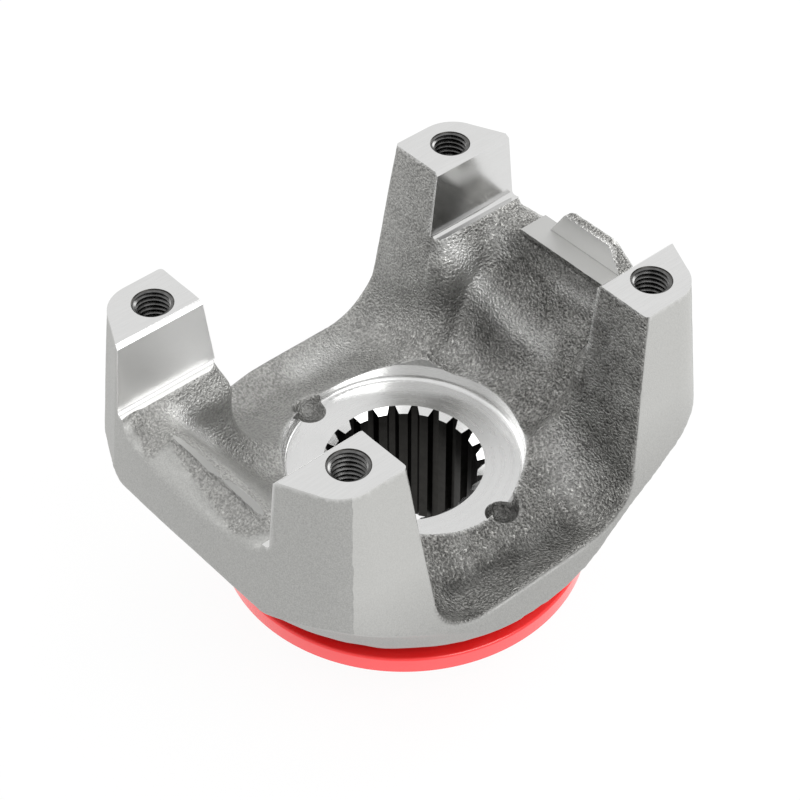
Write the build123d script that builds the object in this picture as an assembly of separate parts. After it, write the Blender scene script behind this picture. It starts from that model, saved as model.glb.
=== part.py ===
from build123d import *

import os
from math import cos, pi, radians, sin, tan

# End yoke of a heavy drive shaft: a one-piece steel forging, machined, with a dust ring on its hub.
# Units are millimetres. The bore axis is Z and the hub's end face is at Z = 0. The two ears stand
# at -Y and +Y, each ends in two posts, and the bearing seats run along Y between the posts.

# Depths under the machined tops of the four posts, except where a height is named
HEIGHT = 142.0               # post tops above the hub's end face
SEAT_DEPTH = 29.4            # floor of the bearing seats
COUNTERBORE_DEPTH = 82.7     # floor of the counterbore
SADDLE_DEPTH = 83.7          # saddle between the ears, at its +X rim
FAR_SADDLE_DEPTH = 80.4      # the same at its -X rim
GROOVE_DEPTH = 87.0          # hollow just inside the +X rim
FAR_GROOVE_DEPTH = 84.5      # the same inside the -X rim
SLOPE_DEPTH = 81.3           # forged floor between the hollow and the counterbore
MOUND_DEPTH = 76.0           # forged floor round the counterbore
EAR_FOOT_DEPTH = 54.5        # lower edge of an ear's outer face
BODY_BOTTOM = 29.0           # height of the underside, where the dust ring seats

# Bearing bolts
BOLT_SPACING_X = 104.0
BOLT_SPACING_Y = 137.0
THREAD_DIAMETER = 14.0
THREAD_CHAMFER = 0.5
THREAD_DEPTH = 34.0
DRILL_POINT_ANGLE = 59.0     # half angle of the drill's point

# Forged posts and ears, about the forging's own middle
FORGING_SHIFT_Y = -1.1       # the forging sits this far off the drilled middle
POST_OUTER_X = 65.0          # half width over the posts at their tops
POST_INNER_Y = 54.1          # half of the gap between the ears at the post tops
EAR_END_Y = 89.4             # half length over the ears where a post meets the bearing seat
EAR_BOW_Y = 93.3             # the same at the middle of an ear
EAR_FOOT_Y = 98.9            # half length at the lower edge of an ear's outer face
POST_CORNER_RADIUS = 14.0
POST_CORNER_SLOPE = 19.0     # angle of a post's end face to the X axis
POST_FLANK_END_Y = 70.2      # where a post's flat flank meets its rounded corner
OUTER_DRAFT = 6.0
INNER_DRAFT = 6.5
POST_EDGE_RADIUS = 1.5       # rounding of each post's edge between its inner face and its flank
POST_THROAT_RADIUS = 6.0     # rounding of a post towards the gap in its own ear
FOOT_RADIUS = 66.0           # underside where it meets the dust ring

# Machined bearing seats
SEAT_HALF_WIDTH = 41.5
SEAT_CHAMFER = 1.5
SEAT_FILLET = 1.6
STOP_FACE_Y = 87.6           # machined face of the lug that a bearing plate stops against

# Forged channel along X between the ears
SADDLE_CORNER_RADIUS = 23.0
RIM_X = 74.0
GROOVE_X = 64.0
SLOPE_X = 50.0

# Forged gap in each ear, along Y, at the depth of the bearing seat
GAP_HALF_WIDTH = 38.4
GAP_WALL_ANGLE = 13.5
GAP_CORNER_RADIUS = 12.0
LIP_DROP = 1.0               # highest forged level of an ear's lip, under the seat

# Lug and ledge on the +Y ear
LUG_TOP_DEPTH = 18.8
LUG_CENTRE_X = 2.1
LUG_TOP_LENGTH = 23.2
LUG_FLANK_ANGLE = 32.0
LUG_TOP_WIDTH = 4.6
LUG_BACK_ANGLE = 19.0
LEDGE_START_Y = 79.4
LEDGE_START_X = -23.7
LEDGE_END_X = 30.0

# Two low humps on the lip of the -Y ear, which the seat cutter just grazes
HUMP_Y = -85.7
HUMP_CENTRES_X = (-7.8, 17.7)
HUMP_LENGTHS = (26.0, 20.8)
HUMP_WIDTHS = (1.5, 3.6)

# Hub, bore and spline
COUNTERBORE_RADIUS = 45.0
COUNTERBORE_FILLET = 2.2
SPLINE_TEETH = 22
SPLINE_MAJOR_RADIUS = 30.0
SPLINE_MINOR_RADIUS = 27.5
SPLINE_TIP_WIDTH = 3.4
SPLINE_ROOT_WIDTH = 6.2
SPLINE_LEAD_IN = 2.0
DIMPLE_RADIUS = 6.0
DIMPLE_DEPTH = 3.6
DIMPLE_CENTRE_RADIUS = 44.0
DIMPLE_ANGLE = 12.0
JOURNAL_RADIUS = 42.5
JOURNAL_LEAD_IN = 2.5
SHOULDER_RADIUS = 47.5
SHOULDER_BOTTOM = 17.0

# Dust ring
RING_OUTER_RADIUS = 69.6
RING_HEIGHT = 7.0
RING_WALL = 2.4
RING_EDGE_RADIUS = 1.0
RING_SLEEVE_HEIGHT = 9.0
RING_CLEARANCE = 0.05

# A cutter or a block that has to pass right through the part
OVERRUN = 20.0


def z_at(depth):
    """Height of a level that is given by its depth under the post tops."""
    return HEIGHT - depth


def top_outline():
    """Plan of the blank at the post tops: straight flanks, rounded corners, bowed ends."""
    slope = radians(POST_CORNER_SLOPE)
    half = (radians(90) - slope) / 2
    centre_x = POST_OUTER_X - POST_CORNER_RADIUS
    seat_x = SEAT_HALF_WIDTH + SEAT_CHAMFER
    start = (POST_OUTER_X, POST_FLANK_END_Y)
    middle = (centre_x + POST_CORNER_RADIUS * cos(half), POST_FLANK_END_Y + POST_CORNER_RADIUS * sin(half))
    end = (centre_x + POST_CORNER_RADIUS * sin(slope), POST_FLANK_END_Y + POST_CORNER_RADIUS * cos(slope))
    bow = (seat_x / 2, (3 * EAR_BOW_Y + EAR_END_Y) / 4)
    quarter = Curve() + [
        Line((POST_OUTER_X, 0), start),
        ThreePointArc(start, middle, end),
        Line(end, (seat_x, EAR_END_Y)),
        ThreePointArc((seat_x, EAR_END_Y), bow, (0, EAR_BOW_Y)),
    ]
    half_outline = quarter + mirror(quarter, Plane.YZ)
    return make_face(half_outline + mirror(half_outline, Plane.XZ))


def blank():
    """Drafted block over the ears, trimmed by a turned underside and by a slope under each ear."""
    outline = Plane.XY.offset(HEIGHT) * top_outline()
    block = extrude(outline, amount=-(HEIGHT - BODY_BOTTOM), taper=-OUTER_DRAFT)
    widest = 112.0
    flank = Spline(
        (widest, z_at(46.0)), (96.0, z_at(69.0)), (83.5, z_at(84.0)), (76.5, z_at(98.0)), (FOOT_RADIUS, BODY_BOTTOM),
    )
    top = HEIGHT + OVERRUN
    turned = make_face(Curve() + [
        flank,
        Line(flank @ 1, (0, BODY_BOTTOM)),
        Line((0, BODY_BOTTOM), (0, top)),
        Line((0, top), (widest, top)),
        Line((widest, top), flank @ 0),
    ])
    foot = (FOOT_RADIUS, BODY_BOTTOM)
    slope = (EAR_FOOT_Y - FOOT_RADIUS) / (z_at(EAR_FOOT_DEPTH) - BODY_BOTTOM)
    upper = (FOOT_RADIUS + slope * (top - BODY_BOTTOM), top)
    ears = Plane.YZ * Polygon(foot, upper, (-upper[0], top), (-FOOT_RADIUS, BODY_BOTTOM), align=None)
    return block & revolve(Plane.XZ * turned, Axis.Z) & extrude(ears, amount=POST_OUTER_X + OVERRUN, both=True)


def flat_section(plane, top_half, top_z, floor_half, floor_z, radius):
    """Flat-bottomed U of a channel, as a face across the channel."""
    corners = [(-top_half, top_z), (-floor_half, floor_z), (floor_half, floor_z), (top_half, top_z)]
    face = plane * Polygon(*corners, align=None)
    low = face.vertices().sort_by(Axis.Z)[:2]
    return fillet(low, radius)


def saddle_channel():
    """Space between the ears: a drafted U along X whose floor dips inside each rim."""
    top = HEIGHT + OVERRUN
    floors = [
        (-RIM_X - OVERRUN / 2, FAR_SADDLE_DEPTH), (-RIM_X, FAR_SADDLE_DEPTH), (-GROOVE_X, FAR_GROOVE_DEPTH),
        (-SLOPE_X, SLOPE_DEPTH), (0, MOUND_DEPTH), (SLOPE_X, SLOPE_DEPTH),
        (GROOVE_X, GROOVE_DEPTH), (RIM_X, SADDLE_DEPTH), (RIM_X + OVERRUN / 2, SADDLE_DEPTH),
    ]
    slope = tan(radians(INNER_DRAFT))
    sections = [
        flat_section(
            Plane.YZ.offset(x), POST_INNER_Y + slope * OVERRUN, top, POST_INNER_Y - slope * depth, z_at(depth),
            SADDLE_CORNER_RADIUS,
        )
        for x, depth in floors
    ]
    return loft(sections)


def ear_gap(side, lip):
    """Forged gap between the two posts of an ear, with its floor falling into the bowl.

    The fall is given as shares of the way from the seat to the floor of the bowl, and the lip
    as drops under the seat.
    """
    fall = [(28, 1.021), (38, 1.017), (46, 0.985), (54, 0.854), (62, 0.627), (69, 0.412)]
    floors = [(y, SEAT_DEPTH + share * (MOUND_DEPTH - SEAT_DEPTH)) for y, share in fall]
    floors += [(y, SEAT_DEPTH + drop) for y, drop in lip]
    slope = tan(radians(GAP_WALL_ANGLE))
    relief = 1.0
    top = z_at(SEAT_DEPTH - relief)
    sections = []
    for y, depth in floors:
        wall = depth - SEAT_DEPTH + relief
        floor_half = GAP_HALF_WIDTH + slope * (relief - wall)
        radius = min(GAP_CORNER_RADIUS, 1.1 * wall)
        sections.append(flat_section(
            Plane.XZ.offset(-side * y), GAP_HALF_WIDTH + slope * relief, top, floor_half, z_at(depth), radius,
        ))
    return loft(sections)


def seat_cutter():
    """Profile of both bearing seats along Y: flat floor, walls, chamfers at the post tops."""
    lip = SEAT_CHAMFER + OVERRUN
    points = [
        (-SEAT_HALF_WIDTH - lip, HEIGHT + OVERRUN), (-SEAT_HALF_WIDTH, z_at(SEAT_CHAMFER)),
        (-SEAT_HALF_WIDTH, z_at(SEAT_DEPTH)), (SEAT_HALF_WIDTH, z_at(SEAT_DEPTH)),
        (SEAT_HALF_WIDTH, z_at(SEAT_CHAMFER)), (SEAT_HALF_WIDTH + lip, HEIGHT + OVERRUN),
    ]
    face = Plane.XZ * Polygon(*points, align=None)
    face = fillet(face.vertices().sort_by(Axis.Z)[:2], SEAT_FILLET)
    return extrude(face, amount=EAR_FOOT_Y + OVERRUN, both=True)


def edges_within(body, low, high):
    """Edges whose middle lies in a box of absolute x, absolute y and z."""
    found = []
    for edge in body.edges():
        point = edge @ 0.5
        values = (abs(point.X), abs(point.Y), point.Z)
        if all(a <= value <= b for a, value, b in zip(low, values, high)):
            found.append(edge)
    return found


def forging():
    """The raw forging: blank, channel between the ears, a gap in each ear, rounded post edges."""
    body = Pos(0, FORGING_SHIFT_Y, 0) * (blank() - saddle_channel())
    plain = [(77, 7.2), (82, 2.2), (86, LIP_DROP), (90, 1.9), (94, 4.2), (98, 8.0), (106, 16.6)]
    beside_lug = [(75.5, 10.2), (79, 3.8), (82, 1.6), (88, LIP_DROP), (93, 2.4), (97, 5.4), (106, 14.6)]
    body = body - ear_gap(-1, plain) - ear_gap(1, beside_lug)
    near_floor = z_at(MOUND_DEPTH) + 2
    throats = edges_within(body, (20, 20, near_floor), (GAP_HALF_WIDTH + 0.6, POST_INNER_Y, HEIGHT))
    body = fillet(throats, POST_THROAT_RADIUS)
    flanks = edges_within(body, (POST_OUTER_X - 1, 20, z_at(SADDLE_DEPTH) - 9), (RIM_X + 6, POST_INNER_Y + 6, HEIGHT))
    return fillet(flanks, POST_EDGE_RADIUS)


def lip_humps():
    """Rounded humps of the -Y lip: slices of slender rings, each standing a little over the seat."""
    rise = 0.5
    humps = []
    for centre_x, length, width in zip(HUMP_CENTRES_X, HUMP_LENGTHS, HUMP_WIDTHS):
        along = (length / 2) ** 2 / (2 * rise)
        across = max(2.2, (width / 2) ** 2 / (2 * rise))
        centre = (centre_x, HUMP_Y, z_at(SEAT_DEPTH) + rise - along)
        ring = Pos(*centre) * (Rot(90, 0, 0) * Torus(along - across, across))
        slab = Pos(centre_x, HUMP_Y, z_at(SEAT_DEPTH) - 2) * Box(0.8 * length + 8, 12, 4)
        humps.append(ring & slab)
    return humps


def lug():
    """Trapezoid lug on the +Y ear, flat towards the seat and sloped away behind."""
    run = tan(radians(LUG_FLANK_ANGLE))
    foot_depth = SEAT_DEPTH + 3.0
    half_top = LUG_TOP_LENGTH / 2
    half_foot = half_top + run * (foot_depth - LUG_TOP_DEPTH)
    points = [
        (LUG_CENTRE_X - half_foot, z_at(foot_depth)), (LUG_CENTRE_X - half_top, z_at(LUG_TOP_DEPTH)),
        (LUG_CENTRE_X + half_top, z_at(LUG_TOP_DEPTH)), (LUG_CENTRE_X + half_foot, z_at(foot_depth)),
    ]
    face = Pos(0, STOP_FACE_Y, 0) * (Plane.XZ * Polygon(*points, align=None))
    block = extrude(face, amount=2 * LUG_TOP_WIDTH, dir=(0, 1, 0))
    fall = foot_depth - LUG_TOP_DEPTH
    back = STOP_FACE_Y + LUG_TOP_WIDTH
    side = [
        (STOP_FACE_Y, z_at(foot_depth)), (STOP_FACE_Y, z_at(LUG_TOP_DEPTH)), (back, z_at(LUG_TOP_DEPTH)),
        (back + fall * tan(radians(LUG_BACK_ANGLE)), z_at(foot_depth)),
    ]
    return block & extrude(Plane.YZ * Polygon(*side, align=None), amount=SEAT_HALF_WIDTH, both=True)


def ledge():
    """Raised ledge in front of the lug, which the seat cutter finishes flat."""
    length = LEDGE_END_X - LEDGE_START_X
    width = STOP_FACE_Y + LUG_TOP_WIDTH - LEDGE_START_Y
    height = 2.5
    place = Pos(LEDGE_START_X + length / 2, LEDGE_START_Y + width / 2, z_at(SEAT_DEPTH) - height / 2)
    return place * Box(length, width, height)


def counterbore():
    """Turned recess round the spline, with a fillet at its foot."""
    floor = z_at(COUNTERBORE_DEPTH)
    top = floor + OVERRUN
    profile = Polygon((0, floor), (COUNTERBORE_RADIUS, floor), (COUNTERBORE_RADIUS, top), (0, top), align=None)
    foot = profile.vertices().sort_by(Axis.Y)[:2].sort_by(Axis.X)[-1]
    return revolve(Plane.XZ * fillet(foot, COUNTERBORE_FILLET), Axis.Z)


def dimples():
    """Two ball-nosed notches in the counterbore's edge."""
    ball = (DIMPLE_RADIUS ** 2 + DIMPLE_DEPTH ** 2) / (2 * DIMPLE_DEPTH)
    height = z_at(COUNTERBORE_DEPTH + DIMPLE_DEPTH) + ball
    turned = Rot(0, 0, DIMPLE_ANGLE) * Pos(DIMPLE_CENTRE_RADIUS, 0, height) * Sphere(ball)
    return [turned, Rot(0, 0, 180) * turned]


def spline_bore():
    """Bore with the spaces of an internal spline, and a bevel over the ends of its teeth."""
    inner = SPLINE_MINOR_RADIUS - 1
    minor_space = pi * SPLINE_MINOR_RADIUS / SPLINE_TEETH - SPLINE_TIP_WIDTH / 2
    major_space = pi * SPLINE_MAJOR_RADIUS / SPLINE_TEETH - SPLINE_ROOT_WIDTH / 2
    flank = (minor_space - major_space) / (SPLINE_MAJOR_RADIUS - SPLINE_MINOR_RADIUS)
    inner_space = minor_space + flank
    space = Polygon(
        (inner, -inner_space), (SPLINE_MAJOR_RADIUS, -major_space), (SPLINE_MAJOR_RADIUS, major_space),
        (inner, inner_space), align=None,
    )
    profile = Circle(SPLINE_MINOR_RADIUS) + PolarLocations(0, SPLINE_TEETH) * space
    bore = extrude(profile, amount=z_at(COUNTERBORE_DEPTH) + 1)
    height = z_at(COUNTERBORE_DEPTH)
    bevels = [
        Pos(0, 0, height - SPLINE_LEAD_IN / 2) * Cone(
            SPLINE_MINOR_RADIUS, SPLINE_MAJOR_RADIUS, SPLINE_LEAD_IN),
        Pos(0, 0, SPLINE_LEAD_IN / 2) * Cone(SPLINE_MAJOR_RADIUS, SPLINE_MINOR_RADIUS, SPLINE_LEAD_IN),
    ]
    return Pos(0, 0, -0.5) * bore, bevels


def bolt_holes():
    """Four threaded holes at their major diameter, with chamfered mouths and drill points."""
    radius = THREAD_DIAMETER / 2
    mouth = radius + THREAD_CHAMFER
    point = radius * tan(radians(90 - DRILL_POINT_ANGLE))
    profile = Polygon(
        (0, z_at(THREAD_DEPTH + point)), (radius, z_at(THREAD_DEPTH)), (radius, z_at(THREAD_CHAMFER)),
        (mouth, HEIGHT), (mouth, HEIGHT + 1), (0, HEIGHT + 1), align=None,
    )
    hole = revolve(Plane.XZ * profile, Axis.Z)
    return GridLocations(BOLT_SPACING_X, BOLT_SPACING_Y, 2, 2) * hole


def hub():
    """Bearing journal and sealing shoulder under the forged body."""
    profile = Polygon(
        (0, 0), (JOURNAL_RADIUS - JOURNAL_LEAD_IN, 0), (JOURNAL_RADIUS, JOURNAL_LEAD_IN),
        (JOURNAL_RADIUS, SHOULDER_BOTTOM), (SHOULDER_RADIUS, SHOULDER_BOTTOM), (SHOULDER_RADIUS, BODY_BOTTOM + 2),
        (0, BODY_BOTTOM + 2), align=None,
    )
    return revolve(Plane.XZ * profile, Axis.Z)


def dust_ring():
    """Turned ring that shrouds the seal: sleeve on the shoulder, top plate, outer skirt."""
    inner = SHOULDER_RADIUS + RING_CLEARANCE
    top = BODY_BOTTOM
    skirt = top - RING_HEIGHT
    profile = Polygon(
        (inner, top), (RING_OUTER_RADIUS, top), (RING_OUTER_RADIUS, skirt), (RING_OUTER_RADIUS - RING_WALL, skirt),
        (RING_OUTER_RADIUS - RING_WALL, top - RING_WALL), (inner + RING_WALL, top - RING_WALL),
        (inner + RING_WALL, top - RING_SLEEVE_HEIGHT), (inner, top - RING_SLEEVE_HEIGHT), align=None,
    )
    outer = profile.vertices().sort_by(Axis.X)[-2:].sort_by(Axis.Y)[-1]
    return revolve(Plane.XZ * fillet(outer, RING_EDGE_RADIUS), Axis.Z)


def yoke():
    """The finished one-piece yoke: forging, machined seats, lug, hub, bore and bolt holes."""
    body = forging() - seat_cutter()
    for piece in [ledge()] + lip_humps() + [lug(), hub()]:
        body = body + piece
    body = body - counterbore() - dimples()
    bore, bevels = spline_bore()
    return body - bore - bevels - bolt_holes()


os.makedirs("parts", exist_ok=True)
export_step(yoke(), "parts/yoke.step")
export_step(dust_ring(), "parts/dust_ring.step")
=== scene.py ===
import math

import bmesh
import bpy
from bpy.props import FloatProperty
from bpy.props import FloatVectorProperty
from bpy.props import IntProperty
from bpy.props import PointerProperty
from mathutils import Matrix
from mathutils import Vector
from mathutils import noise


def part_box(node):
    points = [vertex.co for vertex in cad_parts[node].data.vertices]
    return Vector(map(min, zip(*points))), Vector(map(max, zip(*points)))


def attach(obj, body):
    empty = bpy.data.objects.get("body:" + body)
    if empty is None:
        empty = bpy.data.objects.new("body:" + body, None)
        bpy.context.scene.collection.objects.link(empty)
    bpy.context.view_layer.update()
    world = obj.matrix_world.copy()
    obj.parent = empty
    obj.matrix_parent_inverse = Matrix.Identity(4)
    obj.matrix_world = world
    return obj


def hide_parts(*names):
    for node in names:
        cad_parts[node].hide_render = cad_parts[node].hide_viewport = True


bl_info = {
    "name": "Forged End Yoke",
    "version": (1, 0, 0),
    "blender": (4, 5, 0),
    "location": "3D View > Sidebar > Yoke",
    "description": "Dresses a forged end yoke with rough skin, machined faces, threads and dust ring",
    "category": "Object",
}

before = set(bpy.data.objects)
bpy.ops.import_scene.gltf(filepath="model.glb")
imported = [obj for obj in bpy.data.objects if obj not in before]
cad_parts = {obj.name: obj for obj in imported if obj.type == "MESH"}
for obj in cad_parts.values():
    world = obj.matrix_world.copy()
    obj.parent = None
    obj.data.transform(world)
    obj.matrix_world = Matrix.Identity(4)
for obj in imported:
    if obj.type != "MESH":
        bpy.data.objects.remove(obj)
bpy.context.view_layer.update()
YOKE_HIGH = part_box("yoke")[1]
RING_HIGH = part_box("dust_ring")[1]

# Places on the yoke, in metres, as the part has them
MM = 0.001
TOP_Z = YOKE_HIGH.z
SEAT_Z = TOP_Z - 29.4 * MM
SEAT_HALF = 41.5 * MM
SEAT_CHAMFER = 1.5 * MM
SEAT_WALL_FROM_X = 38.0 * MM
STOP_FACE_Y = 87.6 * MM
NUT_FLOOR_Z = TOP_Z - 82.7 * MM
NUT_FLOOR_RADIUS = 45.0 * MM
NUT_FLOOR_ROUND = 2.3 * MM
NUT_WALL_HEIGHT = 20.0 * MM
SPLINE_REACH = 30.6 * MM
SPLINE_LEAD_IN = 3.0 * MM
HOLE_X = 52.0 * MM
HOLE_Y = 68.5 * MM
HOLE_RADIUS = 7.0 * MM
HOLE_MOUTH = 0.5 * MM
HOLE_BELOW_SEAT = 20.0 * MM
DIMPLE_REACH = 44.0 * MM
DIMPLE_TURN = math.radians(12.0)
DIMPLE_RADIUS = 6.0 * MM
DIMPLE_HEIGHT = 8.0 * MM
BODY_BOTTOM_Z = RING_HIGH.z
HUB_RADIUS = 48.0 * MM
NEAR = 0.06 * MM
WELD = 0.005 * MM

# How a face is tilted, from its normal
LEVEL = 0.9999
FLAT = 0.99
STEEP = 0.02

# Regions of the forged skin, in metres
LIP_FROM_Y = -80.0 * MM
LIP_HALF_WIDTH = 42.0 * MM
LIP_BELOW_SEAT = 16.0 * MM
GAP_FROM_Y = 42.0 * MM
GAP_HALF_WIDTH = 41.0 * MM
GAP_BELOW_SEAT = 0.2 * MM
SADDLE_FROM_X = 48.0 * MM
SADDLE_TO_X = 73.0 * MM
SADDLE_TO_Y = 50.0 * MM
SADDLE_LOW_Z = 52.0 * MM
SADDLE_TOP_Z = 80.0 * MM
# Painted light: how far and how much the inner skin is painted paler on the bowl's -X and -Y sides
LIT_SIDE_REACH = 45.0 * MM
LIT_SIDE_SHARE = 0.34

# Grid of the forged skin: fine above this height, split in at most these rounds, and never along a
# side that is shorter than this share of its triangle's longest
FINE_ABOVE_Z = 50.0 * MM
SPLIT_ROUNDS = 60
SHORT_SIDE = 0.7

# Wavy trim of the body's lower edge, in metres
EDGE_TRIM = 3.3 * MM
EDGE_TRIM_REACH = 18.0 * MM
EDGE_TRIM_FROM = 58.0 * MM
EDGE_WAVE_LENGTH = 10.0 * MM
EDGE_WAVE_HEIGHT = 0.9 * MM

# Sharp line down each post's outer corner: its direction, place, width and slope; beyond it the post's
# flank is painted paler, a painted highlight where light falls on the flank
CREASE_ALONG_X = 0.46
CREASE_ALONG_Y = 0.89
CREASE_LEAN = 0.03
CREASE_OFFSET = 39.2 * MM
CREASE_WIDTH = 6.0 * MM
CREASE_SLOPE = 0.16
CREASE_WOBBLE = 1.6 * MM
CREASE_WOBBLE_LENGTH = 5.0 * MM
# Heights between which the flanks' painted highlight grows from none to full
LIT_FLANK_FADE_Z = (57.1 * MM, 100.0 * MM)

# Share of painted highlight on the skin's bulges, where edges catch the light: from this bulge on, and
# full after this much more
HIGHLIGHT_FROM = 0.10
HIGHLIGHT_SPAN = 0.22

# Rough lip of the -Y ear, in millimetres: the line where it ends, and its scoops as middle, reach, depth
LIP_EDGE = [
    (-42.0, -90.5), (-31.5, -93.5), (-22.8, -95.9), (-19.7, -93.3), (-19.0, -88.6),
    (-11.0, -90.5), (-3.0, -91.6), (4.8, -93.1), (10.5, -94.1), (22.8, -95.7),
    (30.1, -93.7), (34.5, -88.8), (38.0, -86.0),
]
SCOOPS = [
    ((-30.5, -89.5), (11.0, 6.4), 1.1),
    ((-10.5, -88.8), (8.6, 4.2), 0.9),
    ((14.5, -90.6), (18.0, 5.6), 1.5),
]

# Swells of the gaps' walls, folds of the +Y gap and of the +X floor, in millimetres: line, reach, rise
FOLDS = [
    ([(-37.0, 52.0, 102.5), (-37.2, 68.0, 103.5), (-37.4, 78.0, 105.5)], 6.5, 2.4),
    ([(37.0, 52.0, 102.5), (37.2, 68.0, 103.5), (37.4, 78.0, 105.5)], 6.5, 2.4),
    ([(-34.8, 54.0, 95.5), (-34.8, 66.0, 96.5), (-34.4, 76.0, 98.5)], 6.5, 2.6),
    ([(-36.8, -52.0, 101.5), (-37.0, -68.0, 102.5), (-37.2, -80.0, 104.5)], 7.0, 2.8),
    ([(36.8, -52.0, 101.5), (37.0, -68.0, 102.5), (37.2, -80.0, 104.5)], 7.0, 2.8),
    ([(-14.5, 76.7, 104.5), (-0.8, 74.9, 101.5), (15.0, 75.2, 102.0)], 3.6, 1.1),
    ([(-26.0, 71.5, 96.0), (-8.0, 69.0, 92.0), (8.0, 68.0, 91.0)], 4.2, -1.2),
    ([(-30.8, 64.6, 87.0), (-15.0, 62.6, 84.0), (-3.3, 61.6, 82.7)], 6.0, 1.5),
    ([(56.5, -28.0, 57.0), (57.5, -14.0, 56.6), (59.0, 4.0, 56.0), (60.5, 24.0, 56.0)], 3.4, -0.9),
    ([(68.0, -22.0, 55.5), (69.0, 0.0, 56.0), (69.5, 26.0, 57.0)], 4.0, 0.7),
]

# The -X rim stands a little higher, in millimetres: line, reach and rise
RIM_LIFT = ([(-73.0, -12.0, 58.0), (-73.0, 24.0, 60.5), (-72.0, 42.0, 69.0)], 10.0, 2.4)

# Painted highlights and painted shade on the forged skin, in millimetres: line, reach and share
HIGHLIGHT_WALL = [
    (-37.0, 56.0, 110.0), (-35.3, 57.6, 107.1), (-33.7, 60.3, 99.3), (-29.5, 63.5, 90.2),
    (-19.2, 62.9, 87.2),
]
PAINTED_HIGHLIGHTS = [
    (HIGHLIGHT_WALL, 5.0, 0.9),
    ([(-31.5, 76.2, 106.7), (-29.0, 76.5, 103.0)], 5.5, 0.35),
    ([(2.8, 74.8, 103.2), (19.1, 75.8, 103.9)], 3.0, 0.30),
    ([(-12.0, 62.0, 85.5), (8.0, 62.5, 84.5)], 5.0, 0.65),
    ([(-31.2, -75.6, 104.0), (-28.8, -67.6, 92.8)], 7.0, 0.85),
    ([(-64.3, 3.0, 57.7), (-64.0, 22.8, 57.7)], 6.0, 0.65),
    ([(-24.0, 48.0, 69.0), (-12.0, 46.0, 66.0)], 7.0, 0.35),
    ([(42.0, 40.0, 72.0), (50.0, 35.0, 64.0)], 7.0, 0.40),
]
# Painted shade along the grooves and in the gaps' corners
PAINTED_SHADES = [
    ([(56.5, -28.0, 57.0), (57.5, -14.0, 56.6), (59.0, 4.0, 56.0), (60.5, 24.0, 56.0)], 3.6, 0.80),
    ([(-24.0, 77.0, 107.5), (16.0, 77.0, 108.0)], 4.0, 0.60),
    ([(-34.0, 50.5, 86.0), (-24.5, 58.0, 79.0), (-8.7, 56.1, 75.4)], 5.0, 0.45),
    ([(-40.5, 52.0, 110.0), (-38.5, 50.5, 98.0)], 3.0, 0.50),
    ([(47.0, 51.5, 128.0), (49.0, 49.0, 100.0)], 9.0, 0.40),
]
# Painted shade in the two dimples
DIMPLE_SHADE = 0.7

# Sizes of the patterns on the steel and on the red, in metres
FLECK = 0.95 * MM
PIT = 1.1 * MM
DENT = 2.6 * MM
PATCH = 9.0 * MM
FINE_GRAIN = 0.5 * MM
CUTTER_LINE = 0.6 * MM
CUTTER_STRETCH = (1.0, 0.06, 1.0)
TURNING_RINGS = 90.0

# Milled faces, in metres: where the tops end, and where the gap's reflection shades the +Y seat's wall
BELOW_TOP_Z = TOP_Z - 0.5 * MM
ON_SEAT_Z = SEAT_Z + 0.2 * MM
SEAT_MIDDLE_X = 37.5 * MM
SHADED_WALL_X = -41.0 * MM
SHADE_FADE_Y = (77.0 * MM, 58.7 * MM)
SHADE_FADE_Z = (135.75 * MM, 119.5 * MM)

# Height over the counterbore's floor from which the forged skin laps over its wall
TURNED_WALL = 7.0 * MM

# Tints that are mixed over the colours
PATCH_TINT = (0.62, 0.62, 0.60)
# Painted highlight
HIGHLIGHT_TINT = (0.80, 0.80, 0.79)
LAPPED_DARK = (0.30, 0.30, 0.295)
LAPPED_PALE = (0.62, 0.62, 0.61)
# Painted reflection on milled faces, and painted shade on the seat floors
SEAT_SHEEN = (0.93, 0.93, 0.92)
SEAT_FLOOR_SHADE = (0.30, 0.30, 0.29)
SEAT_SHADE = (0.08, 0.08, 0.08)
RED_DULLED = (0.98, 0.20, 0.20)
WHITE = (1.0, 1.0, 1.0)

# Threads: their top and sunk foot in metres, and half widths of foot and crest as shares of the pitch
THREAD_TOP_Z = TOP_Z - 0.35 * MM
THREAD_SUNK = 0.12 * MM
THREAD_FOOT = 0.46
THREAD_CREST = 0.10

# Dust ring's section, in metres
RING_INNER_RADIUS = 47.55 * MM
RING_SKIRT = 7.0 * MM
RING_SLEEVE = 9.0 * MM
RING_SKIRT_ROUND = 0.4 * MM
RING_BAND_NEAR = 0.05 * MM

# Stage: floor, lamps and camera, in metres and degrees
FLOOR_RADIUS = 6.0
FLOOR_STEPS = 96
LAMP_SIZE = 0.7
LAMP_AIM = (0.0, 0.0, 0.08)
SIDE_LAMP_PLACE = (0.92, 0.06, 1.00)
FAR_LAMP_PLACE = (-0.09, 1.22, 0.52)
NEAR_LAMP_PLACE = (-1.15, -0.35, 0.55)
CAMERA_AZIMUTH = 48.99
CAMERA_ELEVATION = 43.445
CAMERA_ROLL = -0.143
CAMERA_DISTANCE = 755.9 * MM
CAMERA_LEFT = 1.199 * MM
CAMERA_DOWN = 37.38 * MM
CAMERA_LENS = 98.94
CAMERA_SENSOR = 36.0

# Finishes of the forging's faces, in the order of its material slots
FORGED = 0
MILLED = 1
TURNED = 2
SHADED = 3


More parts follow.
